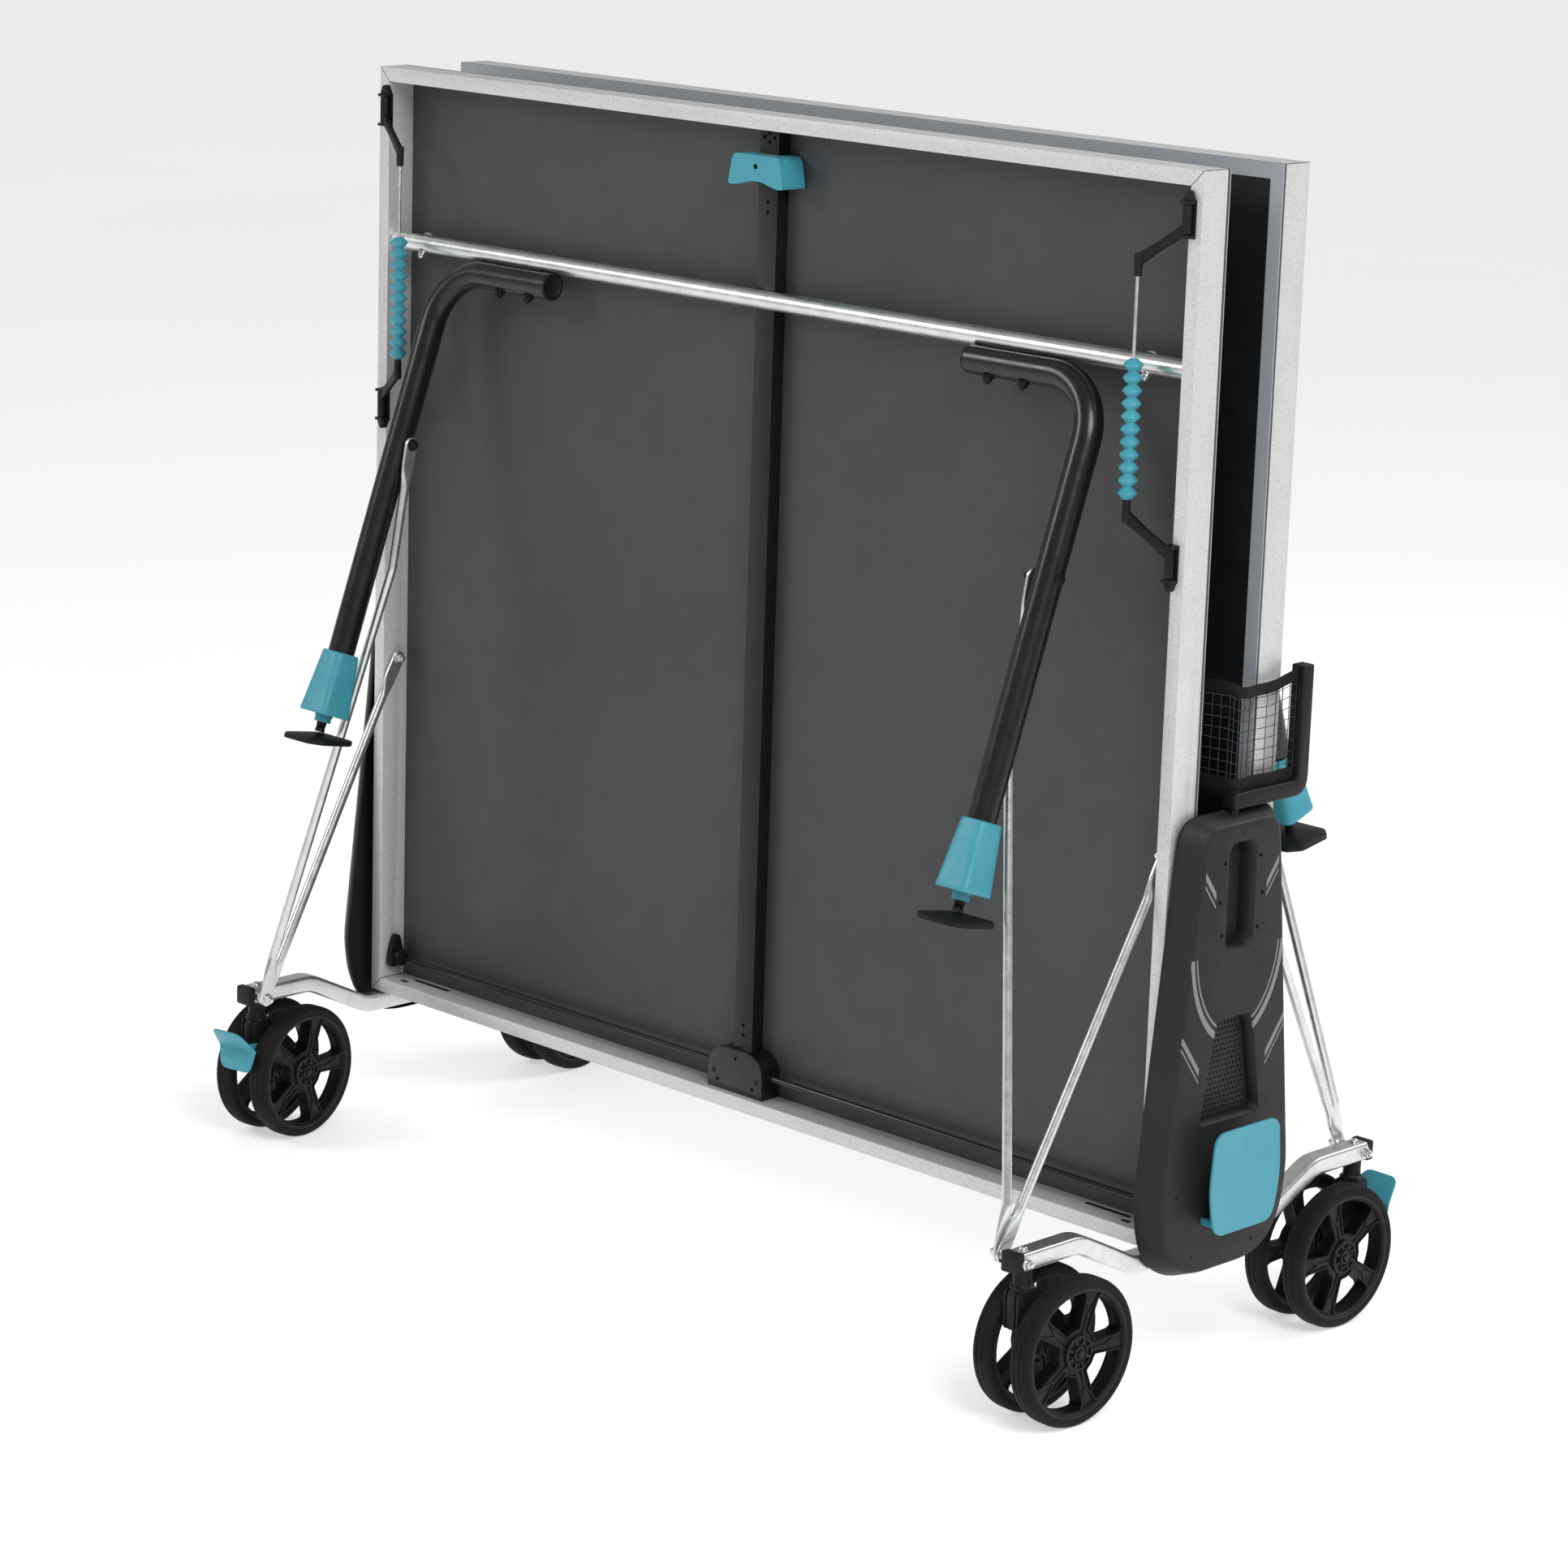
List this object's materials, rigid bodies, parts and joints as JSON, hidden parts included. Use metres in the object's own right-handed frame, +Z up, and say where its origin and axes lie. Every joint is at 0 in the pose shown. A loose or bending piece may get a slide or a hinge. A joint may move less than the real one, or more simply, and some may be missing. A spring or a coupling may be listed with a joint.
{
  "type": "folding table tennis table",
  "caption": "Folding outdoor table tennis table stored upright on a wheeled carriage, with legs, struts, net posts, counters, ball slots and bat holders.",
  "frame": {"origin": "on the floor, at the middle of the folded table between the two playing surfaces", "axes": "+X along the net towards the right end, +Y across the carriage towards the rear half, +Z up"},
  "size_m": [1.6666, 0.7944, 1.555],
  "materials": {
    "laminate": "matt weatherproof laminate",
    "apron_paint": "speckled silver powder coat",
    "black_paint": "satin black",
    "galvanised": "zinc plated",
    "charcoal_plastic": "fine grain",
    "teal_plastic": "satin",
    "black_plastic": "satin",
    "wheel_rubber": "matt",
    "net_fabric": "woven"
  },
  "bodies": {
    "carriage": {"carriage_tube_left": "galvanised", "carriage_tube_right": "galvanised", "carriage_crossbar": "galvanised", "end_housing_left": "charcoal_plastic", "end_housing_right": "charcoal_plastic", "bat_holder_left": "teal_plastic", "bat_holder_right": "teal_plastic", "net": "net_fabric"},
    "guide_rod_front": {"guide_rod_front": "black_paint"},
    "table_front": {"table_top_front": "laminate", "apron_frame_front": "apron_paint", "centre_beam_front": "black_paint"},
    "release_handle_front": {"release_handle_front": "teal_plastic"},
    "legs_front": {"leg_axle_front": "galvanised", "leg_front_left": "black_paint", "foot_shroud_front_left": "teal_plastic", "leg_front_right": "black_paint", "foot_shroud_front_right": "teal_plastic"},
    "apron_struts_front": {"apron_strut_front_left": "galvanised", "apron_strut_front_right": "galvanised"},
    "leg_struts_front": {"leg_strut_front_left": "galvanised", "leg_strut_front_right": "galvanised"},
    "foot_pad_front_left": {"foot_pad_front_left": "black_plastic"},
    "foot_pad_front_right": {"foot_pad_front_right": "black_plastic"},
    "guide_rod_rear": {"guide_rod_rear": "black_paint"},
    "table_rear": {"table_top_rear": "laminate", "apron_frame_rear": "apron_paint", "centre_beam_rear": "black_paint"},
    "release_handle_rear": {"release_handle_rear": "teal_plastic"},
    "legs_rear": {"leg_axle_rear": "galvanised", "leg_rear_left": "black_paint", "foot_shroud_rear_left": "teal_plastic", "leg_rear_right": "black_paint", "foot_shroud_rear_right": "teal_plastic"},
    "apron_struts_rear": {"apron_strut_rear_left": "galvanised", "apron_strut_rear_right": "galvanised"},
    "leg_struts_rear": {"leg_strut_rear_left": "galvanised", "leg_strut_rear_right": "galvanised"},
    "foot_pad_rear_left": {"foot_pad_rear_left": "black_plastic"},
    "foot_pad_rear_right": {"foot_pad_rear_right": "black_plastic"},
    "counter_frame_left": {"counter_frame_left": "black_plastic"},
    "counter_beads_left": {"counter_beads_left": "teal_plastic"},
    "counter_frame_right": {"counter_frame_right": "black_plastic"},
    "counter_beads_right": {"counter_beads_right": "teal_plastic"},
    "net_post_left": {"net_post_left": "black_plastic"},
    "net_post_right": {"net_post_right": "black_plastic"},
    "caster_front_left": {"caster_fork_front_left": "black_plastic"},
    "wheel_front_left_outer": {"wheel_front_left_outer": "wheel_rubber"},
    "wheel_front_left_inner": {"wheel_front_left_inner": "wheel_rubber"},
    "brake_pedal_front_left": {"brake_pedal_front_left": "teal_plastic"},
    "caster_front_right": {"caster_fork_front_right": "black_plastic"},
    "wheel_front_right_inner": {"wheel_front_right_inner": "wheel_rubber"},
    "wheel_front_right_outer": {"wheel_front_right_outer": "wheel_rubber"},
    "caster_rear_left": {"caster_fork_rear_left": "black_plastic"},
    "wheel_rear_left_inner": {"wheel_rear_left_inner": "wheel_rubber"},
    "wheel_rear_left_outer": {"wheel_rear_left_outer": "wheel_rubber"},
    "caster_rear_right": {"caster_fork_rear_right": "black_plastic"},
    "wheel_rear_right_outer": {"wheel_rear_right_outer": "wheel_rubber"},
    "wheel_rear_right_inner": {"wheel_rear_right_inner": "wheel_rubber"},
    "brake_pedal_rear_right": {"brake_pedal_rear_right": "teal_plastic"}
  },
  "joints": [
    {"name": "rod_slide_front", "type": "slide", "parent": "carriage", "child": "guide_rod_front", "axis": [0, 0.0454, 0.999], "range_m": [0, 0.5006]},
    {"name": "fold_front", "type": "hinge", "parent": "guide_rod_front", "child": "table_front", "pos_m": [0, -0.0752, 0.2355], "axis": [1, 0, 0], "range_deg": [0, 90]},
    {"name": "handle_lift_front", "type": "slide", "parent": "table_front", "child": "release_handle_front", "axis": [0, 0, 1], "range_m": [0, 0.012], "stiffness_N_per_m": 150, "springref_m": -0.01},
    {"name": "leg_fold_front", "type": "hinge", "parent": "table_front", "child": "legs_front", "pos_m": [0, -0.085, 1.309], "axis": [1, 0, 0], "range_deg": [-72.8, 0]},
    {"name": "apron_strut_turn_front", "type": "hinge", "parent": "table_front", "child": "apron_struts_front", "pos_m": [0, -0.0792, 0.69281], "axis": [1, 0, 0], "range_deg": [-42.6, 0]},
    {"name": "leg_strut_turn_front", "type": "hinge", "parent": "legs_front", "child": "leg_struts_front", "pos_m": [0, -0.18501, 1.04035], "axis": [1, 0, 0], "range_deg": [0, 68.3]},
    {"name": "foot_tilt_front_left", "type": "hinge", "parent": "legs_front", "child": "foot_pad_front_left", "pos_m": [-0.6155, -0.32853, 0.63729], "axis": [1, 0, 0], "range_deg": [-7.3, 0]},
    {"name": "foot_tilt_front_right", "type": "hinge", "parent": "legs_front", "child": "foot_pad_front_right", "pos_m": [0.6155, -0.32853, 0.63729], "axis": [1, 0, 0], "range_deg": [-7.3, 0]},
    {"name": "rod_slide_rear", "type": "slide", "parent": "carriage", "child": "guide_rod_rear", "axis": [0, -0.0454, 0.999], "range_m": [0, 0.5006]},
    {"name": "fold_rear", "type": "hinge", "parent": "guide_rod_rear", "child": "table_rear", "pos_m": [0, 0.0752, 0.2355], "axis": [-1, 0, 0], "range_deg": [0, 90]},
    {"name": "handle_lift_rear", "type": "slide", "parent": "table_rear", "child": "release_handle_rear", "axis": [0, 0, 1], "range_m": [0, 0.012], "stiffness_N_per_m": 150, "springref_m": -0.01},
    {"name": "leg_fold_rear", "type": "hinge", "parent": "table_rear", "child": "legs_rear", "pos_m": [0, 0.085, 1.309], "axis": [-1, 0, 0], "range_deg": [-72.8, 0]},
    {"name": "apron_strut_turn_rear", "type": "hinge", "parent": "table_rear", "child": "apron_struts_rear", "pos_m": [0, 0.0792, 0.69281], "axis": [-1, 0, 0], "range_deg": [-42.6, 0]},
    {"name": "leg_strut_turn_rear", "type": "hinge", "parent": "legs_rear", "child": "leg_struts_rear", "pos_m": [0, 0.18501, 1.04035], "axis": [-1, 0, 0], "range_deg": [0, 68.3]},
    {"name": "foot_tilt_rear_left", "type": "hinge", "parent": "legs_rear", "child": "foot_pad_rear_left", "pos_m": [-0.6155, 0.32853, 0.63729], "axis": [-1, 0, 0], "range_deg": [-7.3, 0]},
    {"name": "foot_tilt_rear_right", "type": "hinge", "parent": "legs_rear", "child": "foot_pad_rear_right", "pos_m": [0.6155, 0.32853, 0.63729], "axis": [-1, 0, 0], "range_deg": [-7.3, 0]},
    {"name": "counter_swing_left", "type": "hinge", "parent": "table_front", "child": "counter_frame_left", "pos_m": [-0.7445, -0.1084, 1.283], "axis": [0, 0, -1], "range_deg": [0, 140]},
    {"name": "bead_slide_left", "type": "slide", "parent": "counter_frame_left", "child": "counter_beads_left", "axis": [0, 0, 1], "range_m": [0, 0.1]},
    {"name": "counter_swing_right", "type": "hinge", "parent": "table_front", "child": "counter_frame_right", "pos_m": [0.7445, -0.1084, 1.283], "axis": [0, 0, 1], "range_deg": [0, 140]},
    {"name": "bead_slide_right", "type": "slide", "parent": "counter_frame_right", "child": "counter_beads_right", "axis": [0, 0, 1], "range_m": [0, 0.1]},
    {"name": "post_swing_left", "type": "hinge", "parent": "carriage", "child": "net_post_left", "pos_m": [-0.7795, 0, 0.74], "axis": [0, 0, 1], "range_deg": [0, 90]},
    {"name": "post_swing_right", "type": "hinge", "parent": "carriage", "child": "net_post_right", "pos_m": [0.7795, 0, 0.74], "axis": [0, 0, -1], "range_deg": [0, 90]},
    {"name": "swivel_front_left", "type": "hinge", "parent": "carriage", "child": "caster_front_left", "pos_m": [-0.7515, -0.33, 0.2], "axis": [0, 0, 1], "continuous": true},
    {"name": "spin_front_left_outer", "type": "hinge", "parent": "caster_front_left", "child": "wheel_front_left_outer", "pos_m": [-0.75943, -0.27053, 0.098], "axis": [0.9912, 0.1323, 0], "continuous": true},
    {"name": "spin_front_left_inner", "type": "hinge", "parent": "caster_front_left", "child": "wheel_front_left_inner", "pos_m": [-0.75943, -0.27053, 0.098], "axis": [0.9912, 0.1323, 0], "continuous": true},
    {"name": "brake_front_left", "type": "hinge", "parent": "caster_front_left", "child": "brake_pedal_front_left", "pos_m": [-0.74965, -0.34388, 0.146], "axis": [0.9912, 0.1323, 0], "range_deg": [0, 8]},
    {"name": "swivel_front_right", "type": "hinge", "parent": "carriage", "child": "caster_front_right", "pos_m": [0.7515, -0.33, 0.2], "axis": [0, 0, 1], "continuous": true},
    {"name": "spin_front_right_inner", "type": "hinge", "parent": "caster_front_right", "child": "wheel_front_right_inner", "pos_m": [0.75506, -0.27011, 0.098], "axis": [0.9982, -0.0593, 0], "continuous": true},
    {"name": "spin_front_right_outer", "type": "hinge", "parent": "caster_front_right", "child": "wheel_front_right_outer", "pos_m": [0.75506, -0.27011, 0.098], "axis": [0.9982, -0.0593, 0], "continuous": true},
    {"name": "swivel_rear_left", "type": "hinge", "parent": "carriage", "child": "caster_rear_left", "pos_m": [-0.7515, 0.33, 0.2], "axis": [0, 0, 1], "continuous": true},
    {"name": "spin_rear_left_inner", "type": "hinge", "parent": "caster_rear_left", "child": "wheel_rear_left_inner", "pos_m": [-0.74679, 0.27019, 0.098], "axis": [-0.9969, -0.0785, 0], "continuous": true},
    {"name": "spin_rear_left_outer", "type": "hinge", "parent": "caster_rear_left", "child": "wheel_rear_left_outer", "pos_m": [-0.74679, 0.27019, 0.098], "axis": [-0.9969, -0.0785, 0], "continuous": true},
    {"name": "swivel_rear_right", "type": "hinge", "parent": "carriage", "child": "caster_rear_right", "pos_m": [0.7515, 0.33, 0.2], "axis": [0, 0, 1], "continuous": true},
    {"name": "spin_rear_right_outer", "type": "hinge", "parent": "caster_rear_right", "child": "wheel_rear_right_outer", "pos_m": [0.7492, 0.27004, 0.098], "axis": [-0.9993, 0.0384, 0], "continuous": true},
    {"name": "spin_rear_right_inner", "type": "hinge", "parent": "caster_rear_right", "child": "wheel_rear_right_inner", "pos_m": [0.7492, 0.27004, 0.098], "axis": [-0.9993, 0.0384, 0], "continuous": true},
    {"name": "brake_rear_right", "type": "hinge", "parent": "caster_rear_right", "child": "brake_pedal_rear_right", "pos_m": [0.75204, 0.34399, 0.146], "axis": [-0.9993, 0.0384, 0], "range_deg": [0, 8]}
  ],
  "couplings": [
    {"joint": "rod_slide_front", "follows": "fold_front", "m_per_rad": 0.31864},
    {"joint": "leg_fold_front", "follows": "fold_front", "ratio": -0.80833},
    {"joint": "apron_strut_turn_front", "follows": "fold_front", "ratio": -0.47255},
    {"joint": "leg_strut_turn_front", "follows": "fold_front", "ratio": 0.7585},
    {"joint": "foot_tilt_front_left", "follows": "fold_front", "ratio": -0.080556},
    {"joint": "foot_tilt_front_right", "follows": "fold_front", "ratio": -0.080556},
    {"joint": "rod_slide_rear", "follows": "fold_rear", "m_per_rad": 0.31864},
    {"joint": "leg_fold_rear", "follows": "fold_rear", "ratio": -0.80833},
    {"joint": "apron_strut_turn_rear", "follows": "fold_rear", "ratio": -0.47255},
    {"joint": "leg_strut_turn_rear", "follows": "fold_rear", "ratio": 0.7585},
    {"joint": "foot_tilt_rear_left", "follows": "fold_rear", "ratio": -0.080556},
    {"joint": "foot_tilt_rear_right", "follows": "fold_rear", "ratio": -0.080556}
  ]
}
